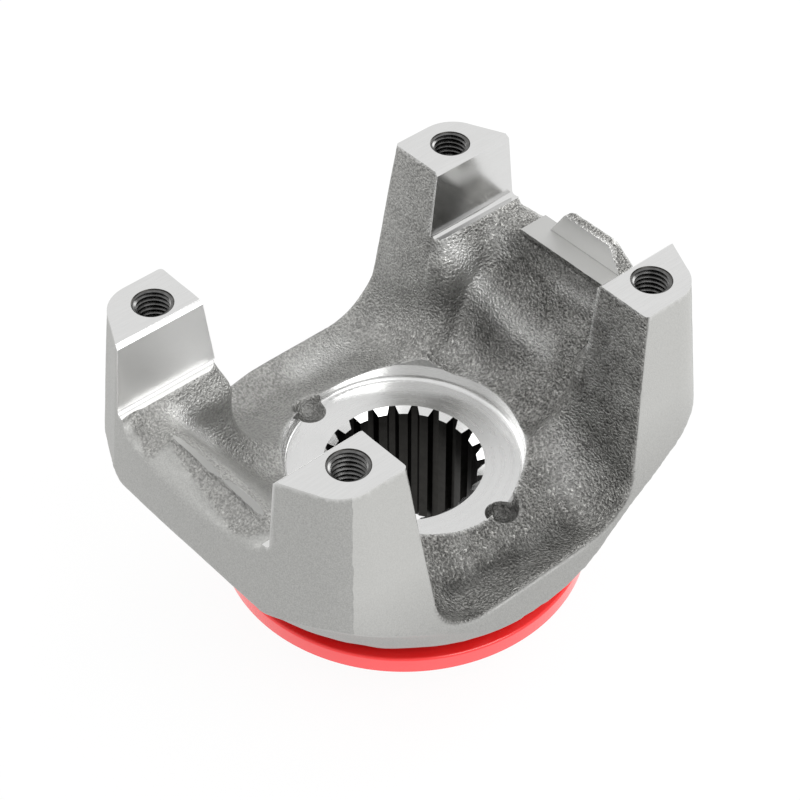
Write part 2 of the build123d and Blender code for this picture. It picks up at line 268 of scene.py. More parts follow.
class YokeForging(bpy.types.PropertyGroup):
    """Relief and colours of the forging and of its machined faces."""

    grid: FloatProperty(
        name="Grid", description="Longest edge on the forged skin", default=2.3 * MM, unit="LENGTH")
    coarse_grid: FloatProperty(
        name="Coarse Grid", description="Longest edge between the fine skin and the lower edge's band",
        default=9.0 * MM, unit="LENGTH")
    softening: IntProperty(
        name="Softening", description="Rounds of smoothing on the forged creases", default=3)
    wave_length: FloatProperty(
        name="Wave Length", description="Distance between the broad waves of the skin",
        default=26.0 * MM, unit="LENGTH")
    wave_height: FloatProperty(
        name="Wave Height", description="Height of the broad waves of the skin",
        default=0.28 * MM, unit="LENGTH")
    ripple_length: FloatProperty(
        name="Ripple Length", description="Distance between the small dents",
        default=7.0 * MM, unit="LENGTH")
    ripple_height: FloatProperty(
        name="Ripple Height", description="Height of the small dents",
        default=0.10 * MM, unit="LENGTH")
    outer_colour: FloatVectorProperty(
        name="Outer Steel", description="Shot-blasted outer skin",
        default=(0.43, 0.43, 0.418), subtype="COLOR")
    # Inner skin: rougher forged steel, its darker colour partly painted shade of the bowl and the gaps
    inner_colour: FloatVectorProperty(
        name="Inner Steel", description="Rougher skin of the bowl and the gaps",
        default=(0.190, 0.188, 0.180), subtype="COLOR")
    milled_colour: FloatVectorProperty(
        name="Milled Steel", description="Milled and turned faces",
        default=(0.70, 0.70, 0.695), subtype="COLOR")
    # Oiled steel of the bores, set almost black as painted shade inside them
    shaded_colour: FloatVectorProperty(
        name="Bore Steel", description="Oiled steel of the spline and the holes",
        default=(0.028, 0.027, 0.025), subtype="COLOR")


class YokeThreads(bpy.types.PropertyGroup):
    """Sizes of the threads in the four bolt holes."""

    pitch: FloatProperty(
        name="Pitch", description="Rise of one turn", default=2.0 * MM, unit="LENGTH")
    crest_radius: FloatProperty(
        name="Crest Radius", description="Radius of the ridge's crest",
        default=5.95 * MM, unit="LENGTH")
    depth: FloatProperty(
        name="Depth", description="Length of the thread", default=31.0 * MM, unit="LENGTH")
    steps: IntProperty(name="Steps", description="Steps in one turn", default=40)


class YokeRing(bpy.types.PropertyGroup):
    """Wall and look of the dust ring."""

    wall: FloatProperty(
        name="Wall", description="Thickness of the ring's wall", default=2.4 * MM, unit="LENGTH")
    rim_round: FloatProperty(
        name="Rim Round", description="Rounding of the ring's upper rim",
        default=1.0 * MM, unit="LENGTH")
    colour: FloatVectorProperty(
        name="Ring Colour", description="Glossy red of the ring",
        default=(0.92, 0.012, 0.012), subtype="COLOR")
    band_sheen_colour: FloatVectorProperty(
        # Painted reflection: the outer band's red is paler, as the white surroundings shine in it
        name="Band Colour", description="Paler red of the ring's outer band",
        default=(0.93, 0.070, 0.075), subtype="COLOR")
    steps: IntProperty(name="Steps", description="Steps round the ring", default=192)


class YokeStage(bpy.types.PropertyGroup):
    """Floor, lamps and background."""

    floor_colour: FloatVectorProperty(
        name="Floor", description="Pale studio floor", default=(0.93, 0.93, 0.93), subtype="COLOR")
    backdrop_share: FloatProperty(
        name="Backdrop Share", description="How far the floor reads as plain white",
        default=0.93, subtype="FACTOR")
    sky_level: FloatProperty(
        name="Sky Level", description="Strength of the even light", default=0.88)
    side_power: FloatProperty(
        name="Side Power", description="Lamp over the +X side", default=7.0, unit="POWER")
    far_power: FloatProperty(
        name="Far Power", description="Low lamp behind the +Y ear", default=9.0, unit="POWER")
    near_power: FloatProperty(
        name="Near Power", description="Low lamp at the -X side", default=3.5, unit="POWER")


class Reading:
    """A value inside a material, which takes plain arithmetic."""

    def __init__(self, sheet, socket):
        self.sheet = sheet
        self.socket = socket

    def __add__(self, other):
        return self.sheet.math("ADD", self, other)

    def __radd__(self, other):
        return self.sheet.math("ADD", other, self)

    def __sub__(self, other):
        return self.sheet.math("SUBTRACT", self, other)

    def __rsub__(self, other):
        return self.sheet.math("SUBTRACT", other, self)

    def __mul__(self, other):
        return self.sheet.math("MULTIPLY", self, other)

    def __rmul__(self, other):
        return self.sheet.math("MULTIPLY", other, self)


class Sheet:
    """The nodes of one material or of the world."""

    def __init__(self, tree):
        self.tree = tree
        self.tree.nodes.clear()

    def add(self, kind, settings=None, sockets=None, output=0):
        """Adds a node, sets it up and gives back one of its outputs, if it has any."""
        node = self.tree.nodes.new(kind)
        for name, value in (settings or {}).items():
            setattr(node, name, value)
        for key, value in (sockets or {}).items():
            if isinstance(value, Reading):
                self.tree.links.new(value.socket, node.inputs[key])
            else:
                node.inputs[key].default_value = value
        return Reading(self, node.outputs[output]) if node.outputs else None

    def place(self):
        return self.add("ShaderNodeTexCoord", output="Object")

    def attribute(self, name):
        return self.add("ShaderNodeAttribute", {"attribute_name": name}, output="Fac")

    def cloud(self, where, size, detail=2.0):
        """Soft noise whose features have that size in metres."""
        sockets = {"Vector": where, "Scale": 1.0 / size, "Detail": detail}
        return self.add("ShaderNodeTexNoise", {}, sockets)

    def pits(self, where, size):
        """Distance to the middle of the nearest pit."""
        return self.add("ShaderNodeTexVoronoi", {}, {"Vector": where, "Scale": 1.0 / size})

    def along(self, where, axis):
        """The place along X, Y or Z in metres."""
        return self.add("ShaderNodeSeparateXYZ", {}, {"Vector": where}, output=axis)

    def math(self, operation, first, second=0.0):
        return self.add("ShaderNodeMath", {"operation": operation}, {0: first, 1: second})

    def absolute(self, value):
        return self.math("ABSOLUTE", value)

    def above(self, value, limit):
        """1 where the value is above the limit and 0 elsewhere."""
        return self.math("GREATER_THAN", value, limit)

    def below(self, value, limit):
        """1 where the value is below the limit and 0 elsewhere."""
        return self.math("LESS_THAN", value, limit)

    def larger(self, first, second):
        return self.math("MAXIMUM", first, second)

    def fade(self, value, start, end):
        """0 at the start and 1 at the end, which may be the lower of the two."""
        return self.add("ShaderNodeMapRange", {"clamp": True}, {0: value, 1: start, 2: end})

    def mix(self, share, first, second):
        sockets = {0: share, 6: self.colour(first), 7: self.colour(second)}
        return self.add("ShaderNodeMix", {"data_type": "RGBA"}, sockets, output=2)

    def colour(self, value):
        return value if isinstance(value, Reading) else (*value, 1.0)

    def bump(self, height, distance):
        sockets = {"Height": height, "Distance": distance, "Strength": 1.0}
        return self.add("ShaderNodeBump", {}, sockets)

    def finish(self, **sockets):
        """Closes the sheet with a Principled shader that takes these sockets."""
        named = {name.replace("_", " "): value for name, value in sockets.items()}
        shader = self.add("ShaderNodeBsdfPrincipled", {}, named)
        self.add("ShaderNodeOutputMaterial", {}, {"Surface": shader})


def new_material(name):
    """A material without nodes, and the sheet that fills it."""
    material = bpy.data.materials.new(name)
    material.use_nodes = True
    return material, Sheet(material.node_tree)


def scaled(colour, share):
    """A colour with each channel multiplied by this share."""
    return [share * channel for channel in colour]


def forged_steel(look):
    """Shot-blasted forging: pale and even outside, grainier and darker inside, the darker colour inside
    partly painted shade; painted highlights and painted shade lie over the skin.
    """
    material, sheet = new_material("forged_steel")
    where = sheet.place()
    inside = sheet.attribute("inside")
    # Painted highlight on the skin's bulges and along the given lines
    painted_highlight = sheet.attribute("painted_highlight")
    # Painted shade in grooves, corners and dimples
    dark = sheet.attribute("dark")
    flecks = sheet.fade(sheet.cloud(where, FLECK, 4.0), 0.37, 0.63)
    pits = sheet.fade(sheet.pits(where, PIT), 0.05, 0.55)
    dents = sheet.cloud(where, DENT, 2.0)
    patches = sheet.fade(sheet.cloud(where, PATCH, 4.0), 0.38, 0.68)
    fine = sheet.fade(sheet.cloud(where, FINE_GRAIN, 2.0), 0.35, 0.65)
    beside = beside_crease(sheet, where)
    flank = lit_flank_share(sheet, where, beside)
    ends = sheet.mix(fine, scaled(look.outer_colour, 0.88), scaled(look.outer_colour, 1.08))
    # Painted highlight: the posts' flanks are painted paler than their end faces, as where light falls
    # on them
    outer = sheet.mix(0.45 * flank, ends, scaled(look.outer_colour, 1.65))
    # Inner skin, darker partly as painted shade of the bowl and the gaps
    inner = sheet.mix(flecks, scaled(look.inner_colour, 0.50), scaled(look.inner_colour, 1.70))
    # Painted shade mixed over the inner skin
    inner_with_shade = sheet.mix(dark, inner, scaled(look.inner_colour, 0.35))
    skin = sheet.mix(inside, outer, inner_with_shade)
    cloudy = sheet.mix(0.20 * patches * inside, skin, PATCH_TINT)
    # Painted highlight mixed over the skin
    bright = sheet.mix(0.55 * painted_highlight, cloudy, HIGHLIGHT_TINT)
    rough = 0.60 - (0.12 + 0.18 * flecks) * inside - 0.08 * painted_highlight
    grain = (0.7 * flecks + 0.5 * pits + 0.9 * dents) * (0.06 + 0.94 * inside) + 0.12 * fine
    height = (0.26 + 0.20 * inside) * MM * grain + post_crease(sheet, beside) * (1.0 - inside)
    sheet.finish(
        Base_Color=bright, Metallic=1.0, Roughness=rough, Normal=sheet.bump(height, 1.0))
    return material


def beside_crease(sheet, where):
    """Distance from the sharp line down each post's outer corner, positive on the post's flank."""
    x = sheet.absolute(sheet.along(where, "X"))
    y = sheet.absolute(sheet.along(where, "Y"))
    lean = CREASE_LEAN * (TOP_Z - sheet.along(where, "Z"))
    return CREASE_ALONG_X * x - CREASE_ALONG_Y * y + lean + CREASE_OFFSET


def post_crease(sheet, beside):
    """Height of the sharp line down each post's outer corner, in metres."""
    away = sheet.absolute(beside)
    return CREASE_SLOPE * CREASE_WIDTH * sheet.math("EXPONENT", away * (-1.0 / CREASE_WIDTH))


def lit_flank_share(sheet, where, beside):
    """1 on the posts' flanks, 0 on their end faces and low on the body: the share of the flanks' painted
    highlight.
    """
    wobble = CREASE_WOBBLE * sheet.cloud(where, CREASE_WOBBLE_LENGTH, 2.0)
    past = sheet.above(beside + wobble, 0.5 * CREASE_WOBBLE)
    return past * sheet.fade(sheet.along(where, "Z"), *LIT_FLANK_FADE_Z)


def milled_steel(look):
    """Ground and milled faces with fine cutter lines along the seats; some faces are painted paler as a
    painted reflection, and the seat floors and the +Y seat's -X wall darker as painted shade and a
    painted reflection of the dark gap.
    """
    material, sheet = new_material("milled_steel")
    where = sheet.place()
    across = sheet.absolute(sheet.along(where, "X"))
    height = sheet.along(where, "Z")
    stretched = sheet.add(
        "ShaderNodeMapping", {"vector_type": "POINT"}, {"Vector": where, "Scale": CUTTER_STRETCH})
    lines = sheet.cloud(stretched, CUTTER_LINE, 3.0)
    smear = sheet.cloud(where, 11.0 * MM, 2.0)
    below_top = sheet.below(height, BELOW_TOP_Z)
    on_seat = sheet.below(height, ON_SEAT_Z)
    plain_ear = sheet.below(sheet.along(where, "Y"), 0.0)
    middle = below_top * sheet.below(across, SEAT_MIDDLE_X)
    # Painted reflection: the -Y ear's milled faces below the top and the middle faces are painted paler,
    # and are rougher
    rough_and_sheen = sheet.larger(below_top * plain_ear, middle)
    # Painted shade: the seat floors are painted darker
    toned = sheet.larger(middle * on_seat * (0.62 + 0.25 * plain_ear), 0.35 * plain_ear * on_seat)
    lined = sheet.mix(lines, scaled(look.milled_colour, 0.93), scaled(look.milled_colour, 1.05))
    pale = sheet.mix(0.8 * rough_and_sheen, lined, SEAT_SHEEN)
    faced = sheet.mix(toned, pale, SEAT_FLOOR_SHADE)
    colour = sheet.mix(0.62 * shaded_wall(sheet, where) * below_top, faced, SEAT_SHADE)
    rough = 0.11 + 0.06 * lines + 0.06 * smear + 0.22 * rough_and_sheen
    sheet.finish(
        Base_Color=colour, Metallic=1.0, Roughness=rough, Normal=sheet.bump(lines, 0.012 * MM))
    return material


def shaded_wall(sheet, where):
    """1 low on the +Y seat's -X wall, where it mirrors the dark gap, fading up and outwards."""
    y = sheet.along(where, "Y")
    z = sheet.along(where, "Z")
    wall = sheet.below(sheet.along(where, "X"), SHADED_WALL_X) * sheet.above(y, 0.0)
    above_seat = sheet.above(z, SEAT_Z + SEAT_CHAMFER)
    return wall * above_seat * sheet.fade(y, *SHADE_FADE_Y) * sheet.fade(z, *SHADE_FADE_Z)


def turned_steel(look):
    """Faces turned about the bore; the forged skin laps over the counterbore's highest wall."""
    material, sheet = new_material("turned_steel")
    where = sheet.place()
    rings = sheet.add(
        "ShaderNodeTexWave",
        {"wave_type": "RINGS", "rings_direction": "Z", "wave_profile": "SIN"},
        {"Vector": where, "Scale": TURNING_RINGS, "Distortion": 2.0, "Detail": 2.0,
         "Detail Scale": 1.0})
    smear = sheet.cloud(where, 9.0 * MM, 2.0)
    grain = sheet.cloud(where, FLECK, 4.0)
    lapped = sheet.above(sheet.along(where, "Z"), NUT_FLOOR_Z + TURNED_WALL)
    turned = sheet.mix(smear, scaled(look.milled_colour, 0.95), scaled(look.milled_colour, 1.05))
    colour = sheet.mix(lapped, turned, sheet.mix(grain, LAPPED_DARK, LAPPED_PALE))
    rough = 0.20 + 0.04 * rings + 0.08 * smear + 0.28 * lapped
    height = smear + 18.0 * lapped * grain
    sheet.finish(
        Base_Color=colour, Metallic=1.0, Roughness=rough, Normal=sheet.bump(height, 0.01 * MM))
    return material


def shaded_steel(look):
    """Oiled steel of the spline and the holes, its colour set almost black as painted shade of the deep
    bores.
    """
    material, sheet = new_material("shaded_steel")
    smear = sheet.cloud(sheet.place(), 3.0 * MM, 3.0)
    colour = sheet.mix(smear, scaled(look.shaded_colour, 0.6), scaled(look.shaded_colour, 1.5))
    sheet.finish(
        Base_Color=colour, Metallic=1.0, Roughness=0.24 + 0.16 * smear,
        Normal=sheet.bump(smear, 0.05 * MM))
    return material


def thread_steel(look):
    """Bright flanks of the threads, darker where oil lies; the whole is kept dark as painted shade
    inside the holes.
    """
    material, sheet = new_material("thread_steel")
    smear = sheet.cloud(sheet.place(), 2.5 * MM, 3.0)
    colour = sheet.mix(smear, scaled(look.shaded_colour, 1.2), scaled(look.milled_colour, 0.34))
    sheet.finish(
        Base_Color=colour, Metallic=1.0, Roughness=0.18 + 0.16 * smear,
        Normal=sheet.bump(smear, 0.04 * MM))
    return material


def red_gloss(look):
    """Glossy red of the dust ring, painted paler on its outer band as a painted reflection of the white
    surroundings.
    """
    material, sheet = new_material("red_gloss")
    where = sheet.place()
    orange_peel = sheet.cloud(where, 3.0 * MM, 2.0)
    smear = sheet.cloud(where, 20.0 * MM, 2.0)
    # Painted reflection on the outer band
    colour = sheet.mix(sheet.attribute("band"), look.colour, look.band_sheen_colour)
    toned = sheet.mix(0.06 * smear, colour, RED_DULLED)
    sheet.finish(
        Base_Color=toned, Metallic=0.0, Roughness=0.18 + 0.10 * smear, Coat_Weight=0.45,
        Coat_Roughness=0.08, Normal=sheet.bump(orange_peel, 0.02 * MM))
    return material


def placed(name, data):
    """An object of this data in the scene, at the origin."""
    thing = bpy.data.objects.new(name, data)
    bpy.context.scene.collection.objects.link(thing)
    return thing


def new_piece(name, body, materials):
    """Makes an object at the origin from a finished bmesh."""
    mesh = bpy.data.meshes.new(name)
    body.to_mesh(mesh)
    body.free()
    for material in materials:
        mesh.materials.append(material)
    piece = placed(name, mesh)
    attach(piece, "root")
    return piece


def shade_evenly(piece):
    """Keeps flat faces flat to the eye where they meet rounded edges."""
    even = piece.modifiers.new("even_shading", "WEIGHTED_NORMAL")
    even.keep_sharp = True


def shade_round(body, limit):
    """Smooth shading, with hard lines where the surface turns by more than this angle."""
    for face in body.faces:
        face.smooth = True
    for edge in body.edges:
        if len(edge.link_faces) == 2:
            first, second = edge.link_faces
            edge.smooth = first.normal.angle(second.normal, 0.0) < limit


def finish_of(face):
    """Which finish a face of the yoke has, from where it lies."""
    middle = face.calc_center_median()
    tilt = face.normal
    x, y, z = abs(middle.x), abs(middle.y), middle.z
    radius = math.hypot(x, y)
    from_hole = math.hypot(x - HOLE_X, y - HOLE_Y)
    if from_hole < HOLE_RADIUS + HOLE_MOUTH + NEAR and z > SEAT_Z - HOLE_BELOW_SEAT:
        return MILLED if z > TOP_Z - NEAR else SHADED
    if z > TOP_Z - NEAR:
        return MILLED
    if abs(z - SEAT_Z) < NEAR and tilt.z > FLAT:
        return MILLED
    on_wall = SEAT_WALL_FROM_X < x < SEAT_HALF + SEAT_CHAMFER + NEAR
    if on_wall and z > SEAT_Z - NEAR and abs(tilt.y) < 0.2:
        return MILLED
    if abs(middle.y - STOP_FACE_Y) < NEAR and abs(tilt.y) > FLAT:
        return MILLED
    if radius < SPLINE_REACH and z < NUT_FLOOR_Z - NEAR:
        return TURNED if tilt.z > 0.5 and z > NUT_FLOOR_Z - SPLINE_LEAD_IN else SHADED
    if in_dimple(middle) and tilt.z < LEVEL:
        return FORGED
    in_counterbore = radius < NUT_FLOOR_RADIUS + NEAR and -NEAR < z - NUT_FLOOR_Z < NUT_WALL_HEIGHT
    level_or_steep = tilt.z > LEVEL or abs(tilt.z) < STEEP
    if in_counterbore and (level_or_steep or z < NUT_FLOOR_Z + NUT_FLOOR_ROUND):
        return TURNED
    if z < BODY_BOTTOM_Z + NEAR and radius < HUB_RADIUS:
        return TURNED
    return FORGED


def in_dimple(point):
    """Whether a point lies over one of the two dimples beside the counterbore."""
    turn = Vector((math.cos(DIMPLE_TURN), math.sin(DIMPLE_TURN))) * DIMPLE_REACH
    flat = Vector((point.x, point.y))
    return min((flat - turn).length, (flat + turn).length) < DIMPLE_RADIUS


def on_lip(point):
    """Whether a point lies on the lip of the -Y ear."""
    return point.y < LIP_FROM_Y and abs(point.x) < LIP_HALF_WIDTH


def on_saddle(point):
    """Whether a point lies over the low floor between the ears."""
    across_it = abs(point.x) < SADDLE_TO_X and abs(point.y) < SADDLE_TO_Y
    return across_it and SADDLE_LOW_Z < point.z < SADDLE_TOP_Z


def grid_limit(face, look):
    """Longest edge that a face may have; machined faces have no limit."""
    if face.material_index != FORGED:
        return math.inf
    height = face.calc_center_median().z
    if height < BODY_BOTTOM_Z + EDGE_TRIM_REACH:
        return 2.0 * look.grid
    return look.grid if height > FINE_ABOVE_Z else look.coarse_grid


def edges_to_split(body, look):
    """Long edges of the forged skin, at most one to each triangle and never a short side."""
    found = []
    for edge in body.edges:
        length = edge.calc_length()
        if length > look.grid and length > min(grid_limit(face, look) for face in edge.link_faces):
            found.append((length, edge))
    found.sort(key=lambda item: (-item[0], item[1].index))
    taken = set()
    chosen = []
    for length, edge in found:
        faces = edge.link_faces
        if any(face in taken for face in faces):
            continue
        longest = max(side.calc_length() for face in faces for side in face.edges)
        if length < SHORT_SIDE * longest:
            continue
        taken.update(faces)
        chosen.append(edge)
    return chosen


def split_long_edges(body, look):
    """Halves the long edges of the forged skin until it has an even grid."""
    for _ in range(SPLIT_ROUNDS):
        body.edges.index_update()
        chosen = edges_to_split(body, look)
        if not chosen:
            break
        bmesh.ops.subdivide_edges(body, edges=chosen, cuts=1, use_single_edge=True)


def skin_vertices(body):
    """Vertices whose faces are all forged, and those on the border to a machined face."""
    free, border = [], []
    for vertex in body.verts:
        finishes = {face.material_index for face in vertex.link_faces}
        if finishes == {FORGED}:
            free.append(vertex)
        elif FORGED in finishes:
            border.append(vertex)
    return free, border


def lip_edge_y(x):
    """Where the rough lip of the -Y ear ends and the smooth outer face begins."""
    for (x_a, y_a), (x_b, y_b) in zip(LIP_EDGE, LIP_EDGE[1:]):
        if x_a * MM <= x <= x_b * MM:
            share = (x / MM - x_a) / (x_b - x_a)
            return (y_a + share * (y_b - y_a)) * MM
    return LIP_FROM_Y


def inside_share(face):
    """1 on faces that look at the middle of the yoke, 0 on its outer faces."""
    middle = face.calc_center_median()
    if on_lip(middle) and face.normal.z > 0.25:
        return 1.0 if middle.y > lip_edge_y(middle.x) else 0.0
    if on_saddle(middle) and face.normal.z > 0.2:
        return 1.0
    outward = Vector((middle.x, middle.y, 0.0)).normalized()
    facing = face.normal.dot(outward)
    return min(1.0, max(0.0, (0.50 - facing) / 0.25))


def distance_to(point, start, end):
    """Distance from a point to the straight line between two others."""
    way = end - start
    share = max(0.0, min(1.0, (point - start).dot(way) / way.length_squared))
    return (start + share * way - point).length


def swell(point, stroke):
    """Height at a point of a swell that follows a line, from its line, reach and rise."""
    line, reach, rise = stroke
    away = min(distance_to(point, Vector(a) * MM, Vector(b) * MM) for a, b in zip(line, line[1:]))
    return rise * MM * math.exp(-((away / (reach * MM)) ** 2))


def painted(point, strokes):
    """How strongly these strokes mark the skin at a point."""
    return min(1.0, sum(swell(point, stroke) for stroke in strokes) / MM)


def scooped(point):
    """Depth of the rough scoops behind the ridge of the -Y lip."""
    if not on_lip(point) or point.z < SEAT_Z - LIP_BELOW_SEAT:
        return 0.0
    deepest = 0.0
    for (x, y), (reach_x, reach_y), depth in SCOOPS:
        near = 1.0 - ((point.x / MM - x) / reach_x) ** 2 - ((point.y / MM - y) / reach_y) ** 2
        deepest = max(deepest, depth * MM * min(1.0, 1.6 * max(0.0, near)))
    return deepest


def folded(point):
    """Height of the soft folds and swells in the gaps and on the saddle."""
    far_in = abs(point.y) > GAP_FROM_Y and abs(point.x) < GAP_HALF_WIDTH
    in_gap = far_in and point.z < SEAT_Z - GAP_BELOW_SEAT
    far_out = abs(point.y) < SADDLE_TO_Y and abs(point.x) > SADDLE_FROM_X
    if in_gap or (far_out and point.z < SADDLE_TOP_Z):
        return sum(swell(point, fold) for fold in FOLDS)
    return 0.0


def trimmed(point):
    """Depth of the wavy rounding along the lower edge of the body, above the ring."""
    rise = (point.z - BODY_BOTTOM_Z) / EDGE_TRIM_REACH
    if rise > 1.0 or math.hypot(point.x, point.y) < EDGE_TRIM_FROM:
        return 0.0
    wave = EDGE_WAVE_HEIGHT * noise.noise(point / EDGE_WAVE_LENGTH)
    return (EDGE_TRIM + wave) * (1.0 - rise)


def relief_at(point, inside, look):
    """Height of the forged relief at a point."""
    wave = noise.noise(point / look.wave_length) * look.wave_height
    elsewhere = Vector((7.0, 3.0, 5.0))
    ripple = noise.noise(point / look.ripple_length + elsewhere) * look.ripple_height
    fold = folded(point) if inside > 0.2 else 0.0
    return (wave + ripple) * (0.55 + 0.45 * inside) + fold - scooped(point) - trimmed(point)


def raise_relief(body, look):
    """Moves the forged skin in and out a little, along machined faces where it meets them."""
    layer = body.verts.layers.float["inside"]
    free, border = skin_vertices(body)
    body.normal_update()
    moves = []
    for vertex in free:
        lift = swell(vertex.co, RIM_LIFT) if vertex.co.x < -SADDLE_FROM_X else 0.0
        move = vertex.normal * relief_at(vertex.co, vertex[layer], look)
        moves.append((vertex, move + Vector((0.0, 0.0, lift))))
    for vertex in border:
        forged = [face for face in vertex.link_faces if face.material_index == FORGED]
        machined = [face for face in vertex.link_faces if face.material_index != FORGED]
        planes = distinct_normals(machined)
        if len(planes) != 1:
            continue
        move = sum((face.normal for face in forged), Vector()).normalized()
        move *= relief_at(vertex.co, vertex[layer], look)
        moves.append((vertex, move - planes[0] * move.dot(planes[0])))
    for vertex, move in moves:
        vertex.co += move


def distinct_normals(faces):
    """The directions in which these faces look, each once."""
    found = []
    for face in faces:
        if all(face.normal.dot(known) < 0.9995 for known in found):
            found.append(face.normal.copy())
    return found


def painted_lit_side(point):
    """0 towards the +X and +Y sides of the bowl, 1 towards the others, where the inner skin is painted
    paler: painted light on the faces that look towards +X and +Y.
    """
    return min(1.0, max(0.0, (max(-point.y, -0.35 * point.y) - point.x) / LIT_SIDE_REACH))


def mark_inside(body):
    """Gives each vertex the share of the rough inner skin that its forged faces have, lowered on the
    bowl's -X and -Y sides as painted light.
    """
    layer = body.verts.layers.float.new("inside")
    for vertex in body.verts:
        forged = [face for face in vertex.link_faces if face.material_index == FORGED]
        area = sum(face.calc_area() for face in forged)
        if area:
            inner = sum(inside_share(face) * face.calc_area() for face in forged) / area
            vertex[layer] = inner * (1.0 - LIT_SIDE_SHARE * painted_lit_side(vertex.co))


def mark_painted_highlight(body):
    """Gives each vertex a painted highlight that grows with how sharply the skin bulges there, as where
    edges catch the light, plus the painted highlight strokes.
    """
    layer = body.verts.layers.float.new("painted_highlight")
    raw = {}
    for vertex in body.verts:
        bulge = 0.0
        for edge in vertex.link_edges:
            other = edge.other_vert(vertex)
            bulge += (vertex.co - other.co).normalized().dot(vertex.normal)
        raw[vertex] = bulge / max(1, len(vertex.link_edges))
    for vertex in body.verts:
        around = [raw[edge.other_vert(vertex)] for edge in vertex.link_edges]
        mean = 0.5 * raw[vertex] + 0.5 * sum(around) / max(1, len(around))
        highlight_share = max(0.0, (mean - HIGHLIGHT_FROM) / HIGHLIGHT_SPAN)
        vertex[layer] = min(1.0, highlight_share + painted(vertex.co, PAINTED_HIGHLIGHTS))


def mark_painted_shade(body):
    """Marks the painted shade: in the two dimples and along the painted shade lines."""
    layer = body.verts.layers.float.new("dark")
    for vertex in body.verts:
        low = vertex.co.z < NUT_FLOOR_Z + DIMPLE_HEIGHT
        dimple = DIMPLE_SHADE if low and in_dimple(vertex.co) else 0.0
        vertex[layer] = max(dimple, painted(vertex.co, PAINTED_SHADES))


def mark_edges(body):
    """Smooth shading with hard lines where finishes meet and where the shape turns sharply."""
    for face in body.faces:
        face.smooth = True
    for edge in body.edges:
        if len(edge.link_faces) != 2:
            continue
        first, second = edge.link_faces
        differs = first.material_index != second.material_index
        turn = first.normal.angle(second.normal, 0.0)
        limit = math.radians(52) if first.material_index == FORGED else math.radians(24)
        edge.smooth = not (differs or turn > limit)


class YOKE_OT_forging(bpy.types.Operator):
    """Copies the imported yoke, gives its skin a forged relief and each face its finish"""

    bl_idname = "yoke.forging"
    bl_label = "Forging"

    def execute(self, context):
        look = context.scene.yoke_forging
        body = bmesh.new()
        body.from_mesh(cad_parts["yoke"].data)
        bmesh.ops.remove_doubles(body, verts=body.verts, dist=WELD)
        body.normal_update()
        for face in body.faces:
            face.material_index = finish_of(face)
        split_long_edges(body, look)
        bmesh.ops.triangulate(body, faces=[face for face in body.faces if len(face.verts) > 3])
        body.normal_update()
        free, _ = skin_vertices(body)
        for _ in range(look.softening):
            bmesh.ops.smooth_vert(
                body, verts=free, factor=0.5, use_axis_x=True, use_axis_y=True, use_axis_z=True)
        mark_inside(body)
        raise_relief(body, look)
        body.normal_update()
        # Painted highlight and painted shade, kept in vertex attributes
        mark_painted_highlight(body)
        mark_painted_shade(body)
        mark_edges(body)
        finishes = [forged_steel(look), milled_steel(look), turned_steel(look), shaded_steel(look)]
        piece = new_piece("yoke_forging", body, finishes)
        shade_evenly(piece)
        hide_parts("yoke")
        return {"FINISHED"}


def closed_outline(body, places):
    """A closed line through these places, as its vertices and edges."""
    verts = [body.verts.new(place) for place in places]
    edges = [body.edges.new((verts[i], verts[(i + 1) % len(verts)])) for i in range(len(verts))]
    return verts, edges


def thread_ridge(body, x, y, sizes):
    """One helical ridge down a bolt hole, closed at both ends."""
    foot = THREAD_FOOT * sizes.pitch
    crest = THREAD_CREST * sizes.pitch
    wall = HOLE_RADIUS + THREAD_SUNK
    start = TOP_Z - sizes.depth
    section = [
        (wall, start - foot), (sizes.crest_radius, start - crest),
        (sizes.crest_radius, start + crest), (wall, start + foot),
    ]
    verts, edges = closed_outline(body, [(x + radius, y, z) for radius, z in section])
    body.faces.new(verts)
    turns = math.ceil(sizes.depth / sizes.pitch)
    made = bmesh.ops.spin(
        body, geom=verts + edges, cent=(x, y, 0), axis=(0, 0, 1),
        dvec=(0, 0, sizes.pitch / sizes.steps), angle=turns * 2 * math.pi,
        steps=turns * sizes.steps, use_merge=False, use_duplicate=False)
    last = [item for item in made["geom_last"] if isinstance(item, bmesh.types.BMVert)]
    bmesh.ops.contextual_create(body, geom=last)


class YOKE_OT_threads(bpy.types.Operator):
    """Adds the thread ridges in the four bolt holes, cut level under the holes' mouths"""

    bl_idname = "yoke.threads"
    bl_label = "Threads"

    def execute(self, context):
        body = bmesh.new()
        for x in (-HOLE_X, HOLE_X):
            for y in (-HOLE_Y, HOLE_Y):
                thread_ridge(body, x, y, context.scene.yoke_threads)
        everything = body.verts[:] + body.edges[:] + body.faces[:]
        cut = bmesh.ops.bisect_plane(
            body, geom=everything, plane_co=(0, 0, THREAD_TOP_Z), plane_no=(0, 0, 1),
            clear_outer=True)
        rims = [item for item in cut["geom_cut"] if isinstance(item, bmesh.types.BMEdge)]
        bmesh.ops.edgenet_fill(body, edges=rims)
        bmesh.ops.recalc_face_normals(body, faces=body.faces)
        shade_round(body, math.radians(30))
        steel = thread_steel(context.scene.yoke_forging)
        new_piece("bolt_threads", body, [steel])
        return {"FINISHED"}


